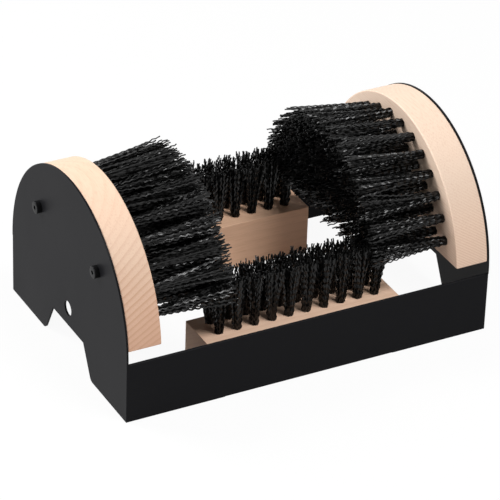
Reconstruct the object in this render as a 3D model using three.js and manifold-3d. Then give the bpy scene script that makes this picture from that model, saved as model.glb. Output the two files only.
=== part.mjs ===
// Boot scraper: a frame of two bent steel sheets that holds four beech brushes.
// Millimetres, +Z up, +X along the long side. The origin is on the ground, under the middle of the frame.
// The frame is two equal halves, each one wall and one end plate, turned half a turn to each other.
import * as THREE from 'three';
import { mergeVertices } from 'three/addons/utils/BufferGeometryUtils.js';
import Module from 'manifold-3d';

const wasm = await Module();
wasm.setup();

// Overall sizes
const length = 300; // over the outer faces of the end plates
const depth = 200; // over the outer faces of the walls, and the diameter of the arched tops
const sheet = 1.5; // steel sheet

// Lower brushes, which stand along the walls and scrub the sole's edge
const endBay = 70; // from an end plate's outer face to the end of a lower block
const lowerBlockDepth = 45;
const lowerBlockHeight = 40;
const lowerTuftCount = 10; // tufts in a row
const lowerRowCount = 2;
const lowerEndMargin = 15.2; // from the block's end to its first tuft
const lowerRowInset = 11.5; // from the block's inner edge to its first row
const lowerRowStep = 15.1;
const lowerBristleLength = 47;

// Arched brushes, which stand at the ends and scrub the boot's sides
const archBlockThickness = 26.5;
const archBlockSetback = 0.3; // the wood's rim inside the plate's edge
const archBlockRise = 10.5; // from the wall's top edge to the block's flat underside
const archRowLift = 5.9; // centre of the rows of tufts, above the centre of the arch
const archRimMargin = 17.2; // from the plate's side edge to the outer row of tufts
const archRowStep = 14.6;
const archRowCount = 5;
const archTuftPitch = 17; // least distance between tufts along a row
const archTuftRise = 15.5; // from the block's underside to the lowest tufts
const bootGap = 110; // between the tips of the two arched brushes

// Tufts
const faceSlice = 3; // wood that the tufts are set in
const strandsPerTuft = 4;
const strandRadius = 1;
const strandTipRadius = 0.8;
const strandRoot = 1; // a strand's stretch inside the wood
const tuftRadius = 2.6; // of the circle that the strands stand on
const tuftTipRadius = 3.5;
const trimScatter = 4; // how far the shortest strand ends below the longest
const archFan = 1.03; // spread of the arched brush at its tips
const lowerFan = 1.03; // spread of the lower brush at its tips

// Frame
const wallOverBlock = 7; // the wall's top edge above the lower block
const hemClearance = 1; // between the folded hem and the block under it
const cornerEdge = 0.6; // outside radius of the sharp bend from wall to end plate
const plateShoulder = 1.5; // straight edge of the plate between the wall's top and the arch
const tabLength = 140; // the tab under each lower block
const tabDepth = 34;
const tabEdge = 0.6; // outside radius of the sharp bend from wall to tab
const blockChamfer = 1; // along the lower block's bottom edge, in the corner of that bend
const footGapTop = 53.2; // width of the gap between the feet, at its top
const footGapBottom = 80; // and on the ground
const footGapHeight = 25.6;
const footTipRounding = 3;
const hangHole = 12; // diameter
const hangHoleRise = 14.4; // from the top of the foot gap to the hole's centre

// Screws
const archScrewReach = 50; // from the arch's centre, sideways and upwards
const archScrewHead = 9.5; // diameter
const archScrewHeadHeight = 4;
const archScrewHeadEdge = 0.4; // rounding of the head's edge
const archScrewShank = 4.5; // diameter
const archScrewSocket = 3; // across flats
const archScrewSocketDepth = 2;
const archScrewTipWood = 3.5; // wood left between the screw's point and the face slice
const baseScrewSpacing = 100;
const baseScrewInset = 22; // from the wall's outer face
const baseScrewHead = 7.6; // diameter
const baseScrewShank = 4; // diameter
const baseScrewSocket = 2.5; // across flats
const baseScrewSocketDepth = 1.2;
const baseScrewTipWood = 16.5;
const screwPoint = 4; // length of a screw's pointed end
const fit = 0.3; // gap round a screw

// Places worked out from the sizes
const halfLength = length / 2;
const halfDepth = depth / 2;
const lowerBlockLength = length - 2 * endBay;
const lowerBlockTop = sheet + lowerBlockHeight;
const wallTop = lowerBlockTop + wallOverBlock;
const hemDrop = wallOverBlock - hemClearance;
const archCentre = wallTop + plateShoulder;
const archRadius = halfDepth - archBlockSetback;
const archBlockBottom = wallTop + archBlockRise;
const plateInner = halfLength - sheet;
const archFace = plateInner - archBlockThickness;
const archBristleLength = archFace - bootGap / 2;
const wallInner = -halfDepth + sheet;
const lowerFaceInner = wallInner + lowerBlockDepth;
const archRowCentre = archCentre + archRowLift;
const archScrewLength = sheet + archBlockThickness - faceSlice - archScrewTipWood;
const baseScrewLength = lowerBlockTop - faceSlice - baseScrewTipWood;

const steel = new THREE.MeshStandardMaterial({ color: '#1f1f21', roughness: 0.45, metalness: 0.3 });
const beech = new THREE.MeshStandardMaterial({ color: '#e6c3a2', roughness: 0.6, metalness: 0 });
const bristle = new THREE.MeshStandardMaterial({ color: '#141414', roughness: 0.5, metalness: 0 });
const blackScrew = new THREE.MeshStandardMaterial({ color: '#171718', roughness: 0.35, metalness: 0.6 });

// Axes that lay a drawing out in the frame: the drawing's x, its y, and the way that it is extruded
const unitX = new THREE.Vector3(1, 0, 0);
const unitY = new THREE.Vector3(0, 1, 0);
const unitZ = new THREE.Vector3(0, 0, 1);
const drawnOnEnd = new THREE.Matrix4().makeBasis(unitY, unitZ, unitX); // (Y, Z), extruded along X
const drawnOnGround = new THREE.Matrix4().makeBasis(unitX, unitY, unitZ); // (X, Y), extruded along Z

function toSolid(geometry) {
  const bare = geometry.clone();
  bare.deleteAttribute('normal');
  bare.deleteAttribute('uv');
  const merged = mergeVertices(bare, 1e-5);
  const mesh = new wasm.Mesh({
    numProp: 3,
    vertProperties: new Float32Array(merged.attributes.position.array),
    triVerts: new Uint32Array(merged.index.array),
  });
  return new wasm.Manifold(mesh);
}

function toGeometry(solid) {
  const mesh = solid.getMesh();
  const geometry = new THREE.BufferGeometry();
  const position = new THREE.BufferAttribute(new Float32Array(mesh.vertProperties), 3);
  geometry.setAttribute('position', position);
  geometry.setIndex(new THREE.BufferAttribute(new Uint32Array(mesh.triVerts), 1));
  geometry.computeVertexNormals();
  return geometry;
}

// A drawing extruded from one height to another along the axis that its plane names
function slab(shape, plane, from, to, curveSegments = 12) {
  const options = { depth: to - from, bevelEnabled: false, curveSegments };
  const geometry = new THREE.ExtrudeGeometry(shape, options);
  geometry.translate(0, 0, from);
  geometry.applyMatrix4(plane);
  return toSolid(geometry);
}

// A turned solid: its profile of (radius, height) points runs up the axis, which points along +Z
function turned(points, segments) {
  const profile = points.map(([radius, height]) => new THREE.Vector2(radius, height));
  const geometry = new THREE.LatheGeometry(profile, segments);
  geometry.rotateX(Math.PI / 2);
  return geometry;
}

// A round cutter along X through the end plate
function crossHole(diameter, y, z, from, to, segments) {
  const geometry = new THREE.CylinderGeometry(diameter / 2, diameter / 2, to - from, segments);
  geometry.rotateZ(Math.PI / 2);
  geometry.translate((from + to) / 2, y, z);
  return toSolid(geometry);
}

// Wall and end plate up to the wall's height, bent from one strip, seen from above
function bentStrip() {
  const strip = new THREE.Shape();
  strip.moveTo(-plateInner, -halfDepth);
  strip.lineTo(halfLength - cornerEdge, -halfDepth);
  strip.absarc(halfLength - cornerEdge, -halfDepth + cornerEdge, cornerEdge, -Math.PI / 2, 0);
  strip.lineTo(halfLength, halfDepth);
  strip.lineTo(plateInner, halfDepth);
  strip.lineTo(plateInner, wallInner);
  strip.lineTo(-plateInner, wallInner);
  return slab(strip, drawnOnGround, 0, wallTop, 4);
}

// The arched top of the end plate, which reaches down into the bent strip, beside its bend
function archedPlate() {
  const overlap = wallTop / 3;
  const plate = new THREE.Shape();
  plate.moveTo(-halfDepth + cornerEdge, wallTop - overlap);
  plate.lineTo(halfDepth, wallTop - overlap);
  plate.lineTo(halfDepth, archCentre);
  plate.absarc(0, archCentre, halfDepth, 0, Math.PI);
  plate.lineTo(-halfDepth, wallTop);
  plate.lineTo(-halfDepth + cornerEdge, wallTop);
  return slab(plate, drawnOnEnd, plateInner, halfLength, 60);
}

// The hem: the wall's top edge, folded down against its inner face, which leaves it round and twice as thick
function hem() {
  const fold = new THREE.Shape();
  fold.moveTo(-halfDepth, wallTop - hemDrop);
  fold.lineTo(-halfDepth + 2 * sheet, wallTop - hemDrop);
  fold.lineTo(-halfDepth + 2 * sheet, wallTop - sheet);
  fold.absarc(wallInner, wallTop - sheet, sheet, 0, Math.PI);
  return slab(fold, drawnOnEnd, -plateInner + hemClearance, plateInner - hemClearance, 6);
}

// The corners over the hem's round edge, cut off the strip's square edge
function hemCorner() {
  const corner = new THREE.Shape();
  corner.moveTo(-halfDepth - sheet, wallTop + sheet);
  corner.lineTo(-halfDepth - sheet, wallTop - sheet);
  corner.lineTo(-halfDepth, wallTop - sheet);
  corner.absarc(wallInner, wallTop - sheet, sheet, Math.PI, Math.PI / 2, true);
  corner.lineTo(wallInner, wallTop + sheet);
  return slab(corner, drawnOnEnd, -plateInner + hemClearance, plateInner - hemClearance, 6);
}

// The tab that carries the lower block, bent inwards from the wall's bottom edge
function tab() {
  const bend = new THREE.Shape();
  bend.moveTo(-halfDepth, 2 * sheet);
  bend.lineTo(-halfDepth, tabEdge);
  bend.absarc(-halfDepth + tabEdge, tabEdge, tabEdge, Math.PI, Math.PI * 1.5);
  bend.lineTo(-halfDepth + tabDepth, 0);
  bend.lineTo(-halfDepth + tabDepth, sheet);
  bend.lineTo(wallInner, sheet);
  bend.lineTo(wallInner, 2 * sheet);
  return slab(bend, drawnOnEnd, -tabLength / 2, tabLength / 2, 4);
}

// The wall's square bottom corner, cut away where the tab's bend takes its place
function tabCorner() {
  const corner = new THREE.Shape();
  corner.moveTo(-halfDepth - sheet, -sheet);
  corner.lineTo(wallInner + sheet, -sheet);
  corner.lineTo(wallInner + sheet, tabEdge);
  corner.lineTo(-halfDepth - sheet, tabEdge);
  return slab(corner, drawnOnEnd, -tabLength / 2, tabLength / 2);
}

// The gap between the two feet of the end plate, with the feet's tips rounded
function footGap() {
  const slope = (footGapBottom - footGapTop) / 2 / footGapHeight;
  const bottom = footGapBottom / 2;
  const top = footGapTop / 2;
  const gap = new THREE.Shape();
  gap.moveTo(-bottom - footTipRounding, -sheet);
  gap.lineTo(bottom + footTipRounding, -sheet);
  gap.lineTo(bottom + footTipRounding, 0);
  gap.quadraticCurveTo(bottom, 0, bottom - slope * footTipRounding, footTipRounding);
  gap.lineTo(top, footGapHeight);
  gap.lineTo(-top, footGapHeight);
  gap.lineTo(-bottom + slope * footTipRounding, footTipRounding);
  gap.quadraticCurveTo(-bottom, 0, -bottom - footTipRounding, 0);
  return slab(gap, drawnOnEnd, plateInner - sheet, halfLength + sheet, 5);
}

function frameHalf() {
  let half = bentStrip().subtract(hemCorner()).subtract(tabCorner());
  half = half.add(hem()).add(tab()).add(archedPlate());
  half = half.subtract(footGap());
  const outside = halfLength + sheet;
  const inside = plateInner - sheet;
  half = half.subtract(crossHole(hangHole, 0, footGapHeight + hangHoleRise, inside, outside, 32));
  for (const side of [-1, 1]) {
    const y = side * archScrewReach;
    const bore = archScrewShank + 2 * fit;
    half = half.subtract(crossHole(bore, y, archCentre + archScrewReach, inside, outside, 16));
    half = half.subtract(baseScrewCutter(side * baseScrewSpacing / 2));
  }
  return toGeometry(half);
}

// A countersunk cone and pilot hole, larger all round than the base screw that sits in them
function baseScrewCutter(x) {
  const head = baseScrewHead / 2 + fit;
  const shank = baseScrewShank / 2 + fit;
  const cutter = turned(
    [
      [0, -sheet],
      [head, -sheet],
      [head, 0],
      [shank, head - shank],
      [shank, baseScrewLength + fit],
      [0, baseScrewLength + fit],
    ],
    16,
  );
  cutter.translate(x, -halfDepth + baseScrewInset, 0);
  return toSolid(cutter);
}

// A countersunk screw, head down, with its head flush under the tab
function baseScrew() {
  const head = baseScrewHead / 2;
  const shank = baseScrewShank / 2;
  const lift = fit / 2;
  const body = toSolid(
    turned(
      [
        [0, lift],
        [head, lift],
        [shank, lift + head - shank],
        [shank, baseScrewLength - screwPoint],
        [0, baseScrewLength],
      ],
      16,
    ),
  );
  const socket = new THREE.CylinderGeometry(1, 1, 2 * baseScrewSocketDepth, 6);
  const acrossCorners = baseScrewSocket / Math.sqrt(3);
  socket.rotateX(Math.PI / 2);
  socket.scale(acrossCorners, acrossCorners, 1);
  socket.translate(0, 0, lift);
  return toGeometry(body.subtract(toSolid(socket)));
}

// A screw with a low round head, which points along +Z, with its head resting on z = 0
function archScrew() {
  const head = archScrewHead / 2;
  const face = -archScrewHeadHeight;
  const edge = archScrewHeadEdge;
  const body = toSolid(
    turned(
      [
        [0, face],
        [head - edge, face],
        [head - edge * 0.3, face + edge * 0.3],
        [head, face + edge],
        [head, 0],
        [archScrewShank / 2, 0],
        [archScrewShank / 2, archScrewLength - screwPoint],
        [0, archScrewLength],
      ],
      24,
    ),
  );
  const socket = new THREE.CylinderGeometry(1, 1, 2 * archScrewSocketDepth, 6);
  const acrossCorners = archScrewSocket / Math.sqrt(3);
  socket.rotateX(Math.PI / 2);
  socket.scale(acrossCorners, acrossCorners, 1);
  socket.translate(0, 0, face);
  return toGeometry(body.subtract(toSolid(socket)));
}

// The arched block's outline: a round top, cut off flat at the underside
function archOutline() {
  const drop = archBlockBottom - archCentre;
  const start = Math.asin(drop / archRadius);
  const outline = new THREE.Shape();
  outline.absarc(0, archCentre, archRadius, start, Math.PI - start);
  return outline;
}

function archBlock() {
  let block = slab(archOutline(), drawnOnEnd, archFace + faceSlice, plateInner, 60);
  const tip = halfLength - archScrewLength - fit;
  const bore = archScrewShank + 2 * fit;
  for (const side of [-1, 1]) {
    const y = side * archScrewReach;
    block = block.subtract(crossHole(bore, y, archCentre + archScrewReach, tip, halfLength, 16));
  }
  return toGeometry(block);
}

function lowerBlock() {
  const section = new THREE.Shape();
  section.moveTo(wallInner + blockChamfer, sheet);
  section.lineTo(lowerFaceInner, sheet);
  section.lineTo(lowerFaceInner, lowerBlockTop - faceSlice);
  section.lineTo(wallInner, lowerBlockTop - faceSlice);
  section.lineTo(wallInner, sheet + blockChamfer);
  let block = slab(section, drawnOnEnd, -lowerBlockLength / 2, lowerBlockLength / 2);
  for (const side of [-1, 1]) {
    block = block.subtract(baseScrewCutter(side * baseScrewSpacing / 2));
  }
  return toGeometry(block);
}

// One strand: a three-sided prism from its root to its tip, a little slimmer at the tip
function addStrand(positions, triangles, root, tip, twist) {
  const axis = new THREE.Vector3().subVectors(tip, root).normalize();
  const helper = Math.abs(axis.z) > 0.7 ? unitX : unitZ;
  const across = new THREE.Vector3().crossVectors(helper, axis).normalize();
  const over = new THREE.Vector3().crossVectors(axis, across);
  const first = positions.length / 3;
  for (const [centre, radius] of [[root, strandRadius], [tip, strandTipRadius]]) {
    for (let corner = 0; corner < 3; corner += 1) {
      const turn = twist + (corner / 3) * Math.PI * 2;
      const point = centre.clone();
      point.addScaledVector(across, radius * Math.cos(turn));
      point.addScaledVector(over, radius * Math.sin(turn));
      positions.push(point.x, point.y, point.z);
    }
  }
  triangles.push(first, first + 2, first + 1);
  triangles.push(first + 3, first + 4, first + 5);
  for (let corner = 0; corner < 3; corner += 1) {
    const next = (corner + 1) % 3;
    triangles.push(first + corner, first + next, first + 3 + next);
    triangles.push(first + corner, first + 3 + next, first + 3 + corner);
  }
}

// Tufts of strands. Each tuft has the centre of its foot and of its tip, and grows along the given axis.
// The strands of a tuft stand on a circle and spread a little, and the trim leaves their tips uneven.
function strands(tufts, axis) {
  const positions = [];
  const triangles = [];
  const across = axis === unitX ? unitY : unitX;
  const over = axis === unitX ? unitZ : unitY;
  tufts.forEach(({ foot, tip }, number) => {
    for (let strand = 0; strand < strandsPerTuft; strand += 1) {
      const turn = ((strand + 0.5) / strandsPerTuft) * Math.PI * 2;
      const uneven = ((number * strandsPerTuft + strand) * 0.618034) % 1;
      const from = foot.clone();
      from.addScaledVector(across, tuftRadius * Math.cos(turn));
      from.addScaledVector(over, tuftRadius * Math.sin(turn));
      const to = tip.clone();
      to.addScaledVector(across, tuftTipRadius * Math.cos(turn));
      to.addScaledVector(over, tuftTipRadius * Math.sin(turn));
      const along = new THREE.Vector3().subVectors(to, from).normalize();
      to.addScaledVector(along, -uneven * trimScatter);
      from.addScaledVector(along, -strandRoot);
      addStrand(positions, triangles, from, to, uneven * Math.PI * 2);
    }
  });
  const geometry = new THREE.BufferGeometry();
  geometry.setAttribute('position', new THREE.Float32BufferAttribute(positions, 3));
  geometry.setIndex(triangles);
  return toSolid(geometry);
}

// Tufts of the arched brush, in rows round one centre a little above the arch's, all above one level
function archTufts() {
  const tufts = [];
  const rise = archBlockBottom + archTuftRise - archRowCentre;
  for (let row = 0; row < archRowCount; row += 1) {
    const radius = halfDepth - archRimMargin - row * archRowStep;
    if (radius > rise) {
      const start = Math.asin(rise / radius);
      const sweep = Math.PI - 2 * start;
      const steps = Math.max(1, Math.floor((sweep * radius) / archTuftPitch));
      for (let step = 0; step <= steps; step += 1) {
        const angle = start + (sweep * step) / steps;
        const y = radius * Math.cos(angle);
        const z = radius * Math.sin(angle);
        tufts.push({
          foot: new THREE.Vector3(archFace, y, archRowCentre + z),
          tip: new THREE.Vector3(archFace - archBristleLength, y * archFan, archRowCentre + z * archFan),
        });
      }
    }
  }
  return tufts;
}

function archBristles() {
  const slice = slab(archOutline(), drawnOnEnd, archFace, archFace + faceSlice, 60);
  return toGeometry(slice.add(strands(archTufts(), unitX)));
}

// Tufts of the lower brush, in straight rows
function lowerTufts() {
  const tufts = [];
  const pitch = (lowerBlockLength - 2 * lowerEndMargin) / (lowerTuftCount - 1);
  const middle = lowerFaceInner - lowerRowInset - ((lowerRowCount - 1) * lowerRowStep) / 2;
  for (let row = 0; row < lowerRowCount; row += 1) {
    for (let place = 0; place < lowerTuftCount; place += 1) {
      const x = -lowerBlockLength / 2 + lowerEndMargin + place * pitch;
      const y = (row - (lowerRowCount - 1) / 2) * lowerRowStep;
      tufts.push({
        foot: new THREE.Vector3(x, middle + y, lowerBlockTop),
        tip: new THREE.Vector3(x * lowerFan, middle + y * lowerFan, lowerBlockTop + lowerBristleLength),
      });
    }
  }
  return tufts;
}

function lowerBristles() {
  const face = new THREE.Shape();
  face.moveTo(-lowerBlockLength / 2, wallInner);
  face.lineTo(lowerBlockLength / 2, wallInner);
  face.lineTo(lowerBlockLength / 2, lowerFaceInner);
  face.lineTo(-lowerBlockLength / 2, lowerFaceInner);
  const slice = slab(face, drawnOnGround, lowerBlockTop - faceSlice, lowerBlockTop);
  return toGeometry(slice.add(strands(lowerTufts(), unitZ)));
}

const shapes = {
  frame: frameHalf(),
  archBlock: archBlock(),
  archBristles: archBristles(),
  archScrew: archScrew(),
  lowerBlock: lowerBlock(),
  lowerBristles: lowerBristles(),
  baseScrew: baseScrew(),
};

function part(name, geometry, material) {
  const mesh = new THREE.Mesh(geometry, material.clone());
  mesh.name = name;
  return mesh;
}

// Half of the scraper: the front wall with its lower brush, and the right end plate with its arched brush.
// wall and end name its sides once it is turned into place.
function scraperHalf(wall, end, otherEnd) {
  const half = new THREE.Group();
  half.add(part(`frame_${wall}_${end}`, shapes.frame, steel));
  half.add(part(`arched_block_${end}`, shapes.archBlock, beech));
  half.add(part(`arched_bristles_${end}`, shapes.archBristles, bristle));
  half.add(part(`lower_block_${wall}`, shapes.lowerBlock, beech));
  half.add(part(`lower_bristles_${wall}`, shapes.lowerBristles, bristle));
  const otherWall = wall === 'front' ? 'rear' : 'front';
  for (const [side, name] of [[-1, wall], [1, otherWall]]) {
    const screw = part(`arched_screw_${end}_${name}`, shapes.archScrew, blackScrew);
    screw.rotation.y = -Math.PI / 2;
    screw.position.set(halfLength, side * archScrewReach, archCentre + archScrewReach);
    half.add(screw);
  }
  for (const [side, name] of [[-1, otherEnd], [1, end]]) {
    const screw = part(`base_screw_${wall}_${name}`, shapes.baseScrew, blackScrew);
    screw.position.set((side * baseScrewSpacing) / 2, -halfDepth + baseScrewInset, 0);
    half.add(screw);
  }
  return half;
}

const scraper = new THREE.Group();
scraper.add(scraperHalf('front', 'right', 'left'));
const turnedHalf = scraperHalf('rear', 'left', 'right');
turnedHalf.rotation.z = Math.PI;
scraper.add(turnedHalf);

export default scraper;
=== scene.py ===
"""Boot scraper: four beech brushes with black bristles in a frame of black coated sheet steel.

Lengths are in metres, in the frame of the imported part: X along it, Y from its front wall to its rear
wall, Z up, with the origin on the ground under its middle.
"""

import math
import random

import bmesh
import bpy
from mathutils import Matrix, Vector


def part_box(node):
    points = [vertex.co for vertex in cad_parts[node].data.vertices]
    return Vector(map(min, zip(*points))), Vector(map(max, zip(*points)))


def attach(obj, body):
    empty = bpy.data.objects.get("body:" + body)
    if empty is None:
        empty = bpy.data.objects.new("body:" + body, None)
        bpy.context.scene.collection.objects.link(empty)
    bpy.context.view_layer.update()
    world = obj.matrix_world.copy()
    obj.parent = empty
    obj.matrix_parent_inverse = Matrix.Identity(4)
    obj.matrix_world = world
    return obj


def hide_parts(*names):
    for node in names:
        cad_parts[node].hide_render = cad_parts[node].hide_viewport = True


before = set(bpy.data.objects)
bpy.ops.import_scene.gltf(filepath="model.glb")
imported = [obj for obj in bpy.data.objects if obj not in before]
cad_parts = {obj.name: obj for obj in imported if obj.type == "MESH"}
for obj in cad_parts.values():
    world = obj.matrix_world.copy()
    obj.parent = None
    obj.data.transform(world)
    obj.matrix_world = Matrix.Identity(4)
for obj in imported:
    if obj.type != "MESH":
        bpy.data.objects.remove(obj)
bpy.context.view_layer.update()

# Camera
# A long lens looks at the scraper from its front left corner and from above, tilted by two degrees,
# as in the photograph. Its picture is square.
camera_data = bpy.data.cameras.new("camera")
camera_data.lens = 240.07  # in mm, for a sensor 36 mm wide
camera = bpy.data.objects.new("camera", camera_data)
bpy.context.scene.collection.objects.link(camera)
bpy.context.scene.camera = camera
camera_place = Vector((-1.0194, -1.8840, 1.3535))
camera_turn = math.radians(28.43)  # from straight ahead towards the right
camera_dip = math.radians(31.28)
camera_roll = math.radians(1.97)
camera.matrix_world = (
    Matrix.Translation(camera_place)
    @ Matrix.Rotation(-camera_turn, 4, "Z")
    @ Matrix.Rotation(math.pi / 2 - camera_dip, 4, "X")
    @ Matrix.Rotation(camera_roll, 4, "Z")
)

# Studio
# A wide white floor, lit by two soft boxes high on either side, a weaker low one and a dim world. The
# camera and mirrors see the floor and the world as white, with the object's shadow faint on the floor.
bpy.context.scene.view_settings.view_transform = "Standard"


def add_node(tree, kind, inputs=None, **settings):
    """Adds a node with its settings. An input is given a value, or is linked from the socket given."""
    node = tree.nodes.new(kind)
    for name, value in settings.items():
        setattr(node, name, value)
    for name, value in (inputs or {}).items():
        if isinstance(value, bpy.types.NodeSocket):
            tree.links.new(value, node.inputs[name])
        else:
            node.inputs[name].default_value = value
    return node


def linear(hex_colour):
    """An sRGB colour such as "#e6c3a2" as linear red, green, blue and alpha."""
    channels = [int(hex_colour[i : i + 2], 16) / 255 for i in (1, 3, 5)]
    return (*[c / 12.92 if c <= 0.04045 else ((c + 0.055) / 1.055) ** 2.4 for c in channels], 1)


def new_material(name):
    """An empty node material: its tree and its output node."""
    material = bpy.data.materials.new(name)
    material.use_nodes = True
    material.node_tree.nodes.clear()
    output = add_node(material.node_tree, "ShaderNodeOutputMaterial")
    return material, material.node_tree, output


def new_object(name, bm, material):
    """Turns a bmesh into an object at the origin with one material."""
    mesh = bpy.data.meshes.new(name)
    bm.to_mesh(mesh)
    bm.free()
    mesh.materials.append(material)
    made = bpy.data.objects.new(name, mesh)
    bpy.context.scene.collection.objects.link(made)
    return made


def seen_share(tree):
    """1 for rays from the camera, a mirror or glass, and 0 for light that falls on the object."""
    light_path = add_node(tree, "ShaderNodeLightPath")
    seen_or_mirrored = add_node(
        tree,
        "ShaderNodeMath",
        {0: light_path.outputs["Is Camera Ray"], 1: light_path.outputs["Is Glossy Ray"]},
        operation="ADD",
    )
    seen = add_node(
        tree,
        "ShaderNodeMath",
        {0: seen_or_mirrored.outputs[0], 1: light_path.outputs["Is Transmission Ray"]},
        operation="ADD",
        use_clamp=True,
    )
    return seen.outputs[0]


floor_size = 40  # fills the picture from every side
paper_whiteness = 0.94  # share of plain white in the floor as the camera and mirrors see it
floor_material, tree, output = new_material("pale_floor")
share = add_node(
    tree,
    "ShaderNodeMath",
    {0: seen_share(tree), 1: paper_whiteness},
    operation="MULTIPLY",
)
paper = add_node(tree, "ShaderNodeBsdfDiffuse", {"Color": linear("#e8e8e8")})
white = add_node(tree, "ShaderNodeEmission", {"Color": (1, 1, 1, 1), "Strength": 1})
lifted = add_node(
    tree,
    "ShaderNodeMixShader",
    {0: share.outputs[0], 1: paper.outputs[0], 2: white.outputs[0]},
)
tree.links.new(lifted.outputs[0], output.inputs["Surface"])
bm = bmesh.new()
bmesh.ops.create_grid(bm, x_segments=1, y_segments=1, size=floor_size / 2)
floor = new_object("floor", bm, floor_material)

world_light = 0.12  # strength of the world where it lights the scraper, next to 1 where it is seen
world = bpy.data.worlds.new("white_studio")
bpy.context.scene.world = world
world.use_nodes = True
tree = world.node_tree
tree.nodes.clear()
strength = add_node(
    tree,
    "ShaderNodeMapRange",
    {"Value": seen_share(tree), "To Min": world_light, "To Max": 1},
)
sky = add_node(
    tree,
    "ShaderNodeBackground",
    {"Color": (1, 1, 1, 1), "Strength": strength.outputs["Result"]},
)
output = add_node(tree, "ShaderNodeOutputWorld")
tree.links.new(sky.outputs[0], output.inputs["Surface"])


soft_box_side = 0.6
lamp_aim = Vector((0, 0, 0.06))  # the middle of the scraper


def soft_box(name, place, watts):
    """A square lamp at a place that points at the scraper."""
    lamp_data = bpy.data.lights.new(name, "AREA")
    lamp_data.shape = "SQUARE"
    lamp_data.size = soft_box_side
    lamp_data.energy = watts
    lamp = bpy.data.objects.new(name, lamp_data)
    bpy.context.scene.collection.objects.link(lamp)
    lamp.location = place
    lamp.rotation_euler = (lamp_aim - Vector(place)).to_track_quat("-Z", "Y").to_euler()


soft_box("high_front_box", (0.3, -0.7, 1.57), 21)
soft_box("rear_left_box", (-0.9, 0.9, 1.2), 24)
soft_box("low_left_box", (-1.64, 0, 0.5), 9)

# Frame
# Two equal halves of 1.5 mm sheet steel, each laser cut, bent into a wall and an end plate, welded to
# the other at two corners and powder coated black.
mm = 0.001
peel_grain = 2.5 * mm
peel_height = 0.2 * mm
gloss_patch = 60 * mm
sheet_edge_rounding = 0.3 * mm  # of the cut edges, with the coat over them
joined_distance = 0.001 * mm  # vertices nearer than this to each other become one

# The powder is baked smooth. The eye gets a black with broad, soft reflections, barely rippled by
# orange peel, and a gloss that varies a little from place to place. The IOR is below a real coat's 1.5,
# because mirrors see a white studio here and a darker one in the photograph.
powder_coat, tree, output = new_material("black_powder_coat")
coordinates = add_node(tree, "ShaderNodeTexCoord")
orange_peel = add_node(
    tree,
    "ShaderNodeTexNoise",
    {"Vector": coordinates.outputs["Object"], "Scale": 1 / peel_grain, "Detail": 2},
)
peel_bump = add_node(
    tree,
    "ShaderNodeBump",
    {"Height": orange_peel.outputs["Fac"], "Strength": 0.04, "Distance": peel_height},
)
patches = add_node(
    tree,
    "ShaderNodeTexNoise",
    {"Vector": coordinates.outputs["Object"], "Scale": 1 / gloss_patch, "Detail": 3},
)
gloss = add_node(
    tree,
    "ShaderNodeMapRange",
    {"Value": patches.outputs["Fac"], "To Min": 0.36, "To Max": 0.44},
)
coat = add_node(
    tree,
    "ShaderNodeBsdfPrincipled",
    {
        "Base Color": linear("#18181a"),
        "Roughness": gloss.outputs["Result"],
        "IOR": 1.12,
        "Normal": peel_bump.outputs["Normal"],
    },
)
tree.links.new(coat.outputs[0], output.inputs["Surface"])


def coated_half(node):
    """A frame half as cut in CAD, with its long triangles joined into flats and its edges eased."""
    bm = bmesh.new()
    bm.from_mesh(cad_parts[node].data)
    bmesh.ops.remove_doubles(bm, verts=bm.verts, dist=joined_distance)
    bmesh.ops.dissolve_limit(bm, angle_limit=math.radians(0.5), verts=bm.verts, edges=bm.edges)
    for face in bm.faces:
        face.smooth = True
    made = new_object(node + "_coated", bm, powder_coat)
    easing = made.modifiers.new("eased_edges", "BEVEL")
    easing.width = sheet_edge_rounding
    easing.segments = 2
    easing.limit_method = "ANGLE"
    easing.angle_limit = math.radians(40)
    flats = made.modifiers.new("flat_faces", "WEIGHTED_NORMAL")
    flats.keep_sharp = True
    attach(made, "root")
    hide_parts(node)


coated_half("frame_front_right")
coated_half("frame_rear_left")

# Arched blocks
# Beech, sawn to an arch from a 26.5 mm board, sanded and left bare, with eased edges. The grain runs
# level along the board, so the growth rings cross the rim as slanted lines that show most low down.
sway_size = 70 * mm
sway_reach = 3 * mm  # of a ring from its straight line
ring_fade = 20 * mm  # either side of the height at which the rings grow faint
faint_share = 0.2  # of the rings' strength above that height
fleck_length = 14 * mm
fleck_width = 0.8 * mm
tone_patch = 40 * mm
full_painted_shade_height = 60 * mm  # painted shade: below here the wood has its full deep, shaded tone
no_painted_shade_height = 120 * mm  # and from here up there is no painted shade, only the pale tone
late_wood_colour = "#cb9c7e"
fleck_colour = "#bf8f72"
sanding_height = 0.1 * mm

# Bare beech under fine sandpaper is matt and pale, straw to pink, with soft rings, fine dark flecks and
# tone that varies in patches.
# Towards the ground its colour carries painted shade: it darkens from the pale tone to the deep one. A
# real fleck is a few millimetres long and about 0.2 mm wide, too fine to show, so it is drawn longer and
# broader.


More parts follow.
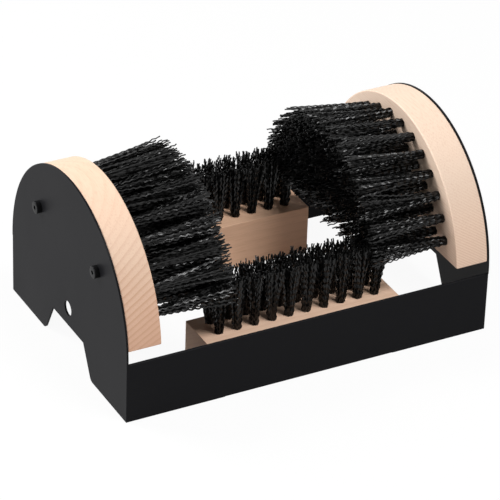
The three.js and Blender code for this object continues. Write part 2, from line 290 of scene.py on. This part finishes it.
def beech(name, pale_and_lit_tone, deep_and_shaded_tone, grain_turn, ring_tilt, ring_width, ring_strength, fade_height):
    """Bare sanded beech. Its board lies along X until the grain is turned about Z, with tilted rings."""
    material, tree, output = new_material(name)
    coordinates = add_node(tree, "ShaderNodeTexCoord")
    board = add_node(
        tree,
        "ShaderNodeMapping",
        {"Vector": coordinates.outputs["Object"], "Rotation": (0, 0, -grain_turn)},
    )
    tilted = add_node(
        tree,
        "ShaderNodeMapping",
        {"Vector": board.outputs[0], "Rotation": (ring_tilt, 0, 0)},
    )
    sway = add_node(
        tree,
        "ShaderNodeTexNoise",
        {"Vector": tilted.outputs[0], "Scale": 1 / sway_size, "Detail": 1},
    )
    swayed = add_node(
        tree,
        "ShaderNodeVectorMath",
        {0: sway.outputs["Color"], 1: [sway_reach] * 3, 2: tilted.outputs[0]},
        operation="MULTIPLY_ADD",
    )
    rings = add_node(
        tree,
        "ShaderNodeTexWave",
        {
            "Vector": swayed.outputs[0],
            "Scale": math.pi / 10 / ring_width,  # at a scale of 1 the bands are pi / 10 apart
            "Distortion": 0.5,
            "Detail": 2,
            "Detail Scale": 1.5,
        },
        bands_direction="Z",
        wave_profile="SAW",
    )
    place = add_node(tree, "ShaderNodeSeparateXYZ", {"Vector": coordinates.outputs["Object"]})
    strength = add_node(
        tree,
        "ShaderNodeMapRange",
        {
            "Value": place.outputs["Z"],
            "From Min": fade_height - ring_fade,
            "From Max": fade_height + ring_fade,
            "To Min": ring_strength,
            "To Max": ring_strength * faint_share,
        },
    )
    late_wood = add_node(
        tree,
        "ShaderNodeMapRange",
        {
            "Value": rings.outputs["Fac"],
            "From Min": 0.5,
            "From Max": 1,
            "To Max": strength.outputs["Result"],
        },
    )
    grain = add_node(
        tree,
        "ShaderNodeMapping",
        {"Vector": board.outputs[0], "Scale": (1 / fleck_length, 1 / fleck_width, 1 / fleck_width)},
    )
    flecks = add_node(
        tree,
        "ShaderNodeTexNoise",
        {"Vector": grain.outputs[0], "Scale": 1, "Detail": 2},
    )
    fleck_tone = add_node(
        tree,
        "ShaderNodeMapRange",
        {"Value": flecks.outputs["Fac"], "From Min": 0.5, "From Max": 0.8, "To Max": 0.35},
    )
    patches = add_node(
        tree,
        "ShaderNodeTexNoise",
        {"Vector": board.outputs[0], "Scale": 1 / tone_patch, "Detail": 2},
    )
    patchy = add_node(
        tree,
        "ShaderNodeMapRange",
        {"Value": patches.outputs["Fac"], "To Min": -0.3, "To Max": 0.3},
    )
    # Painted shade: the colour darkens from the pale tone to the deep one towards the ground.
    painted_shade = add_node(
        tree,
        "ShaderNodeMapRange",
        {
            "Value": place.outputs["Z"],
            "From Min": full_painted_shade_height,
            "From Max": no_painted_shade_height,
            "To Min": 1,
            "To Max": 0,
        },
    )
    painted_shade_and_patches = add_node(
        tree,
        "ShaderNodeMath",
        {0: painted_shade.outputs["Result"], 1: patchy.outputs["Result"]},
        operation="ADD",
        use_clamp=True,
    )
    # The wood's colour is its own tone in random patches, with painted shade low down.
    wood_colour_with_painted_shade = add_node(
        tree,
        "ShaderNodeMix",
        {"Factor": painted_shade_and_patches.outputs[0], "A": linear(pale_and_lit_tone), "B": linear(deep_and_shaded_tone)},
        data_type="RGBA",
    )
    ringed = add_node(
        tree,
        "ShaderNodeMix",
        {
            "Factor": late_wood.outputs["Result"],
            "A": wood_colour_with_painted_shade.outputs["Result"],
            "B": linear(late_wood_colour),
        },
        data_type="RGBA",
    )
    flecked = add_node(
        tree,
        "ShaderNodeMix",
        {
            "Factor": fleck_tone.outputs["Result"],
            "A": ringed.outputs["Result"],
            "B": linear(fleck_colour),
        },
        data_type="RGBA",
    )
    sanding = add_node(
        tree,
        "ShaderNodeBump",
        {"Height": flecks.outputs["Fac"], "Strength": 0.1, "Distance": sanding_height},
    )
    wood = add_node(
        tree,
        "ShaderNodeBsdfPrincipled",
        {
            "Base Color": flecked.outputs["Result"],
            "Roughness": 0.62,
            "IOR": 1.45,
            "Normal": sanding.outputs["Normal"],
        },
    )
    tree.links.new(wood.outputs[0], output.inputs["Surface"])
    return material


def ease_edges(bm, radius):
    """Rounds the edges where two flats meet, or a flat and the arch."""
    edges = [e for e in bm.edges if e.calc_face_angle() > math.radians(30)]
    bmesh.ops.bevel(
        bm,
        geom=edges,
        offset=radius,
        offset_type="OFFSET",
        affect="EDGES",
        segments=4,
        profile=0.5,
        material=-1,
    )
    for face in bm.faces:
        face.smooth = True


def wooden_piece(name, node, bm, material):
    """A block as an object: its flats stay flat between the eased edges."""
    made = new_object(name, bm, material)
    flats = made.modifiers.new("flat_faces", "WEIGHTED_NORMAL")
    flats.keep_sharp = True
    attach(made, "root")
    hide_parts(node)


arch_edge_rounding = 1.1 * mm
face_slice = 3 * mm  # wood in front of the block's own node, which the tufts are set in
rim_setback = 0.3 * mm  # the wood's rim inside the plate's edge
arch_segments = 360
plate_lo, plate_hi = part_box("frame_front_right")
arch_radius = (plate_hi.y - plate_lo.y) / 2
arch_centre = plate_hi.z - arch_radius
arch_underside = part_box("arched_block_left")[0].z


def arch_span(side):
    """X of an arched block's back, which lies on its end plate, and of its brush face."""
    lo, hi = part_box(f"arched_block_{side}")
    if side == "left":
        return lo.x, hi.x + face_slice
    return hi.x, lo.x - face_slice


def arched_block(side, material):
    """A disc, cut off flat at the underside and given the board's thickness."""
    back, face = arch_span(side)
    bm = bmesh.new()
    bmesh.ops.create_circle(bm, cap_ends=True, radius=arch_radius - rim_setback, segments=arch_segments)
    bmesh.ops.rotate(bm, verts=bm.verts, matrix=Matrix.Rotation(math.pi / 2, 3, "Y"))
    bmesh.ops.translate(bm, verts=bm.verts, vec=(back, 0, arch_centre))
    bmesh.ops.bisect_plane(
        bm,
        geom=bm.verts[:] + bm.edges[:] + bm.faces[:],
        plane_co=(0, 0, arch_underside),
        plane_no=(0, 0, -1),
        clear_outer=True,
    )
    grown = bmesh.ops.extrude_face_region(bm, geom=bm.faces[:])
    moved = [v for v in grown["geom"] if isinstance(v, bmesh.types.BMVert)]
    bmesh.ops.translate(bm, verts=moved, vec=(face - back, 0, 0))
    bmesh.ops.recalc_face_normals(bm, faces=bm.faces)
    ease_edges(bm, arch_edge_rounding)
    wooden_piece(f"arched_block_{side}_beech", f"arched_block_{side}", bm, material)


left_arch_beech = beech(
    "beech_left_arch",
    pale_and_lit_tone="#e6c6ad",
    deep_and_shaded_tone="#d6a88c",
    grain_turn=math.pi / 2,
    ring_tilt=math.radians(27),
    ring_width=4.1 * mm,
    ring_strength=0.85,
    fade_height=115 * mm,
)
right_arch_beech = beech(
    "beech_right_arch",
    pale_and_lit_tone="#e6cdb8",
    deep_and_shaded_tone="#eacbb4",
    grain_turn=math.pi / 2,
    ring_tilt=math.radians(-33),
    ring_width=1.8 * mm,
    ring_strength=0.5,
    fade_height=100 * mm,
)
arched_block("left", left_arch_beech)
arched_block("right", right_arch_beech)

# Lower blocks
# Straight beech blocks, planed square, with their edges just broken. Each stands on the tab of its
# wall and is screwed to it from below.
lower_edge_rounding = 0.6 * mm


def lower_block(side, material):
    """A square block with the face slice on top."""
    lo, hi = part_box(f"lower_block_{side}")
    hi.z += face_slice
    bm = bmesh.new()
    bmesh.ops.create_cube(bm, size=1)
    bmesh.ops.scale(bm, verts=bm.verts, vec=hi - lo)
    bmesh.ops.translate(bm, verts=bm.verts, vec=(lo + hi) / 2)
    ease_edges(bm, lower_edge_rounding)
    wooden_piece(f"lower_block_{side}_beech", f"lower_block_{side}", bm, material)


no_fade = 125 * mm  # above both blocks, so their rings keep one strength
front_block_beech = beech(
    "beech_front_block",
    pale_and_lit_tone="#eecdb3",
    deep_and_shaded_tone="#eac6ac",
    grain_turn=0,
    ring_tilt=math.radians(35),
    ring_width=4 * mm,
    ring_strength=0.2,
    fade_height=no_fade,
)
rear_block_beech = beech(
    "beech_rear_block",
    pale_and_lit_tone="#ebc4a4",
    deep_and_shaded_tone="#e5bb9c",
    grain_turn=0,
    ring_tilt=math.radians(65),
    ring_width=3 * mm,
    ring_strength=0.2,
    fade_height=no_fade,
)
lower_block("front", front_block_beech)
lower_block("rear", rear_block_beech)

# Bristles
# Crimped polypropylene filament, extruded black, folded in half and stapled into a drilled hole as a
# tuft. Each filament zigzags, and a tuft fans out towards its uneven, trimmed ends.
filament_radius = 0.58 * mm  # about twice a real one's, so that single filaments show
crimp_wave = 5.5 * mm
crimp_height = 0.48 * mm
crimp_scatter = 0.4  # spread, in radians, of the directions in which a tuft's filaments zigzag
crimp_slide = 0.2  # of a wave either way, from one filament to another
twist = 0.35  # radians either way at each bend, from the way the filament faces
lean_spread = 0.02  # of a filament's length
stray_chance = 0.06
stray_lean = 3  # times the lean that it would have
trim_share = 0.05  # of its length that a filament can lack
trim_scatter = 1.2 * mm  # either way
root_depth = 1 * mm  # in the wood
fan_bend = 1.2  # over 1, so that a tuft widens faster towards its tips
lean_bend = 1.6  # and filaments lean most near their ends
golden_angle = math.pi * (3 - math.sqrt(5))
dust_grain = 2 * mm

# Polypropylene coloured right through gives a deep black, and its soft gloss shows as short light
# dashes on the crimps. A thin dust makes the gloss uneven. The IOR is below the real 1.49, as on the
# steel.
bristle_plastic, tree, output = new_material("black_polypropylene")
coordinates = add_node(tree, "ShaderNodeTexCoord")
dust = add_node(
    tree,
    "ShaderNodeTexNoise",
    {"Vector": coordinates.outputs["Object"], "Scale": 1 / dust_grain, "Detail": 1},
)
sheen = add_node(
    tree,
    "ShaderNodeMapRange",
    {"Value": dust.outputs["Fac"], "To Min": 0.24, "To Max": 0.36},
)
plastic = add_node(
    tree,
    "ShaderNodeBsdfPrincipled",
    {"Base Color": linear("#060606"), "Roughness": sheen.outputs["Result"], "IOR": 1.38},
)
tree.links.new(plastic.outputs[0], output.inputs["Surface"])

section_data = bpy.data.curves.new("filament_section", "CURVE")
section_data.dimensions = "3D"
section_line = section_data.splines.new("POLY")
section_line.points.add(2)
for corner, point in enumerate(section_line.points):
    turn = corner * math.tau / 3
    point.co = (filament_radius * math.cos(turn), filament_radius * math.sin(turn), 0, 1)
section_line.use_cyclic_u = True
filament_section = bpy.data.objects.new("filament_section", section_data)
bpy.context.scene.collection.objects.link(filament_section)


def add_tuft(curve, dice, foot, tip, filaments, foot_radius, tip_radius):
    """Adds a tuft's filaments to a curve. They zigzag nearly together, and a few stray from it."""
    axis = (tip - foot).normalized()
    length = (tip - foot).length
    across = axis.orthogonal().normalized()
    over = axis.cross(across)
    steps = 2 * round(length / crimp_wave)  # two bends to a wave
    first_turn = dice.uniform(0, math.tau)
    crimp_turn = dice.uniform(0, math.tau)
    for number in range(filaments):
        reach = math.sqrt((number + 0.5) / filaments)
        turn = first_turn + number * golden_angle
        outward = across * math.cos(turn) + over * math.sin(turn)
        lean = (across * dice.gauss(0, 1) + over * dice.gauss(0, 1)) * lean_spread * length
        if dice.random() < stray_chance:
            lean *= stray_lean
        zigzag = crimp_turn + dice.gauss(0, crimp_scatter)
        crimp = (across * math.cos(zigzag) + over * math.sin(zigzag)) * crimp_height
        cut = length * (1 - trim_share * dice.random() ** 2) + trim_scatter * dice.uniform(-1, 1)
        slide = dice.uniform(-crimp_slide, crimp_slide) * crimp_wave
        spline = curve.splines.new("POLY")
        spline.points.add(steps)
        flat = []
        for step in range(steps + 1):
            t = step / steps
            fan = foot_radius + (tip_radius - foot_radius) * t**fan_bend
            point = foot + axis * (cut * t - root_depth) + outward * reach * fan + lean * t**lean_bend
            if 0 < step < steps:
                point += crimp * (-1) ** step + axis * slide
            flat.extend((*point, 1))
        spline.points.foreach_set("co", flat)
        facing = dice.uniform(0, math.tau)
        twists = [facing + dice.uniform(-twist, twist) for _ in range(steps + 1)]
        spline.points.foreach_set("tilt", twists)


def bristle_piece(name, node, tufts, filaments, foot_radius, tip_radius):
    """A mesh of tufts: their filaments are swept with a three-sided section and left flat faced."""
    curve = bpy.data.curves.new(name, "CURVE")
    curve.dimensions = "3D"
    curve.bevel_mode = "OBJECT"
    curve.bevel_object = filament_section
    curve.use_fill_caps = True
    dice = random.Random(name)
    for foot, tip in tufts:
        add_tuft(curve, dice, foot, tip, filaments, foot_radius, tip_radius)
    swept = bpy.data.objects.new(name + "_curve", curve)
    bpy.context.scene.collection.objects.link(swept)
    bpy.context.view_layer.update()
    shown = swept.evaluated_get(bpy.context.evaluated_depsgraph_get())
    bm = bmesh.new()
    bm.from_mesh(shown.to_mesh())
    bmesh.ops.remove_doubles(bm, verts=bm.verts, dist=joined_distance)
    bmesh.ops.recalc_face_normals(bm, faces=bm.faces)
    for face in bm.faces:
        face.smooth = False
    bpy.data.objects.remove(swept)
    made = new_object(name, bm, bristle_plastic)
    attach(made, "root")
    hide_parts(node)


arch_rows = 5
row_lift = 5.9 * mm  # centre of the rows above the centre of the arch
side_margin = 17.2 * mm  # from the plate's side edge to the outer row
arch_row_step = 14.6 * mm
lowest_rise = 15.5 * mm  # from the wood's underside to the lowest tufts
arch_tuft_pitch = 17 * mm
arch_rise = 3 * mm  # of a tuft's tips above its foot
arch_filaments = 48
arch_foot_radius = 3 * mm
arch_tip_radius = 8.5 * mm


def arch_row(side, row):
    """Feet and tips of one row of tufts, on an arc inside the rim."""
    face = arch_span(side)[1]
    lo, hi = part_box(f"arched_bristles_{side}")
    ends = hi.x if side == "left" else lo.x
    centre = arch_centre + row_lift
    radius = arch_radius - side_margin - row * arch_row_step
    start = math.asin((arch_underside + lowest_rise - centre) / radius)
    sweep = math.pi - 2 * start
    steps = int(sweep * radius / arch_tuft_pitch)
    tufts = []
    for step in range(steps + 1):
        turn = start + sweep * step / steps
        y = radius * math.cos(turn)
        z = centre + radius * math.sin(turn)
        tufts.append((Vector((face, y, z)), Vector((ends, y, z + arch_rise))))
    return tufts


for side in ("left", "right"):
    node = f"arched_bristles_{side}"
    rows = [arch_row(side, row) for row in range(arch_rows)]
    pieces = (("outer", rows[0]), ("second", rows[1]), ("inner", sum(rows[2:], [])))
    for place, tufts in pieces:
        name = f"{node}_{place}"
        bristle_piece(name, node, tufts, arch_filaments, arch_foot_radius, arch_tip_radius)

lower_rows = 2
lower_tufts = 10  # in a row
lower_end_margin = 15.2 * mm  # from the block's end to the first tuft
lower_row_inset = {"front": 9.3 * mm, "rear": 11.5 * mm}  # from the block's inner edge
lower_row_step = 15.1 * mm
lower_length = 44 * mm  # out of the wood
lower_fan = 1.03  # the row's length at the tips, as a share of that at the feet
lower_filaments = 44
lower_foot_radius = 3.1 * mm
lower_tip_radius = 7.2 * mm

for side, inward in (("front", 1), ("rear", -1)):
    lo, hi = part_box(f"lower_block_{side}")
    top = hi.z + face_slice
    inner_edge = hi.y if inward == 1 else lo.y
    pitch = (hi.x - lo.x - 2 * lower_end_margin) / (lower_tufts - 1)
    tufts = []
    for row in range(lower_rows):
        y = inner_edge - inward * (lower_row_inset[side] + row * lower_row_step)
        for place in range(lower_tufts):
            x = lo.x + lower_end_margin + place * pitch
            tufts.append((Vector((x, y, top)), Vector((x * lower_fan, y, top + lower_length))))
    node = f"lower_bristles_{side}"
    name = f"{node}_tufts"
    bristle_piece(name, node, tufts, lower_filaments, lower_foot_radius, lower_tip_radius)

bpy.data.objects.remove(filament_section)

# Screws
# Low round heads with a hexagon socket hold the arched blocks through the end plates, and countersunk
# ones hold the lower blocks from below. All are turned steel, blackened and left with a film of oil.
turn_steps = 48  # round a screw
point_length = 4 * mm
mottle_grain = 1.2 * mm
low_head_height = 4 * mm
low_head_edge = 0.5 * mm  # its rounding
low_head_rim = 0.45  # radius of the round edge about its socket, as a share of the head's
low_head_shank = 2.25 * mm  # its radius
low_head_socket = 3 * mm  # across its flats
low_head_socket_depth = 2 * mm
countersunk_edge = 0.1 * mm  # the head's cut corner
countersunk_rim = 0.55
countersunk_shank = 2 * mm
countersunk_socket = 2.5 * mm
countersunk_socket_depth = 1.2 * mm

# Black oxide is thin and satin: the eye gets a near black with a narrow, slightly mottled highlight.
# The IOR is that of the oil over it, lowered as on the steel.
black_oxide, tree, output = new_material("black_oxide_steel")
coordinates = add_node(tree, "ShaderNodeTexCoord")
mottle = add_node(
    tree,
    "ShaderNodeTexNoise",
    {"Vector": coordinates.outputs["Object"], "Scale": 1 / mottle_grain, "Detail": 3},
)
oil = add_node(
    tree,
    "ShaderNodeMapRange",
    {"Value": mottle.outputs["Fac"], "To Min": 0.3, "To Max": 0.45},
)
oxide = add_node(
    tree,
    "ShaderNodeBsdfPrincipled",
    {
        "Base Color": linear("#0c0c0d"),
        "Roughness": oil.outputs["Result"],
        "IOR": 1.22,
    },
)
tree.links.new(oxide.outputs[0], output.inputs["Surface"])


def socket_screw(node, profile, socket_flats, socket_depth, placed):
    """A turned screw that points along +Z. Its profile runs from the socket's edge to the point."""
    bm = bmesh.new()
    line = [bm.verts.new((radius, 0, height)) for radius, height in profile]
    edges = [bm.edges.new(pair) for pair in zip(line, line[1:])]
    bmesh.ops.spin(
        bm,
        geom=line + edges,
        cent=(0, 0, 0),
        axis=(0, 0, 1),
        angle=math.tau,
        steps=turn_steps,
        use_merge=True,
    )
    bmesh.ops.remove_doubles(bm, verts=bm.verts, dist=joined_distance)
    rim = [e for e in bm.edges if e.is_boundary]
    rim_height = profile[0][1]
    hexagon = bmesh.ops.create_circle(bm, radius=socket_flats / math.sqrt(3), segments=6)
    bmesh.ops.translate(bm, verts=hexagon["verts"], vec=(0, 0, rim_height))
    sides = [e for e in bm.edges if e.is_wire]
    bmesh.ops.subdivide_edges(bm, edges=sides, cuts=turn_steps // 6 - 1)
    sides = [e for e in bm.edges if e.is_wire]
    bmesh.ops.bridge_loops(bm, edges=rim + sides)
    walls = bmesh.ops.extrude_edge_only(bm, edges=sides)
    floor_verts = [v for v in walls["geom"] if isinstance(v, bmesh.types.BMVert)]
    bmesh.ops.translate(bm, verts=floor_verts, vec=(0, 0, socket_depth))
    floor_edges = [e for e in walls["geom"] if isinstance(e, bmesh.types.BMEdge)]
    bmesh.ops.edgeloop_fill(bm, edges=[e for e in floor_edges if e.is_boundary])
    bmesh.ops.recalc_face_normals(bm, faces=bm.faces)
    bmesh.ops.transform(bm, matrix=placed, verts=bm.verts)
    for face in bm.faces:
        face.smooth = True
    made = new_object(node + "_blackened", bm, black_oxide)
    made.data.set_sharp_from_angle(angle=math.radians(35))
    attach(made, "root")
    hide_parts(node)


def low_head_profile(lo, hi):
    """Half a low round head and its shank, as radius and height from the head's seat."""
    head = (hi.z - lo.z) / 2
    face = -low_head_height
    edge = low_head_edge
    length = hi.x - lo.x + face
    profile = [(head * low_head_rim, face)]
    for degrees in (0, 22.5, 45, 67.5, 90):
        turn = math.radians(degrees)
        profile.append((head - edge + edge * math.sin(turn), face + edge - edge * math.cos(turn)))
    profile += [(head, 0), (low_head_shank, 0), (low_head_shank, length - point_length), (0, length)]
    return profile


def countersunk_profile(lo, hi):
    """Half a countersunk head and its shank, as radius and height from the head's face."""
    head = (hi.x - lo.x) / 2
    edge = countersunk_edge
    shank = countersunk_shank
    length = hi.z - lo.z
    profile = [(head * countersunk_rim, 0), (head - edge, 0), (head, edge)]
    profile += [(shank, head - shank), (shank, length - point_length), (0, length)]
    return profile


for side, out in (("left", -1), ("right", 1)):
    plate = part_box("frame_rear_left")[0].x if side == "left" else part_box("frame_front_right")[1].x
    for wall in ("front", "rear"):
        node = f"arched_screw_{side}_{wall}"
        lo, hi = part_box(node)
        middle = (lo + hi) / 2
        seat = Matrix.Translation((plate, middle.y, middle.z))
        placed = seat @ Matrix.Rotation(-out * math.pi / 2, 4, "Y")
        profile = low_head_profile(lo, hi)
        socket_screw(node, profile, low_head_socket, low_head_socket_depth, placed)

for wall in ("front", "rear"):
    for side in ("left", "right"):
        node = f"base_screw_{wall}_{side}"
        lo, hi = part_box(node)
        middle = (lo + hi) / 2
        placed = Matrix.Translation((middle.x, middle.y, lo.z))
        profile = countersunk_profile(lo, hi)
        socket_screw(node, profile, countersunk_socket, countersunk_socket_depth, placed)
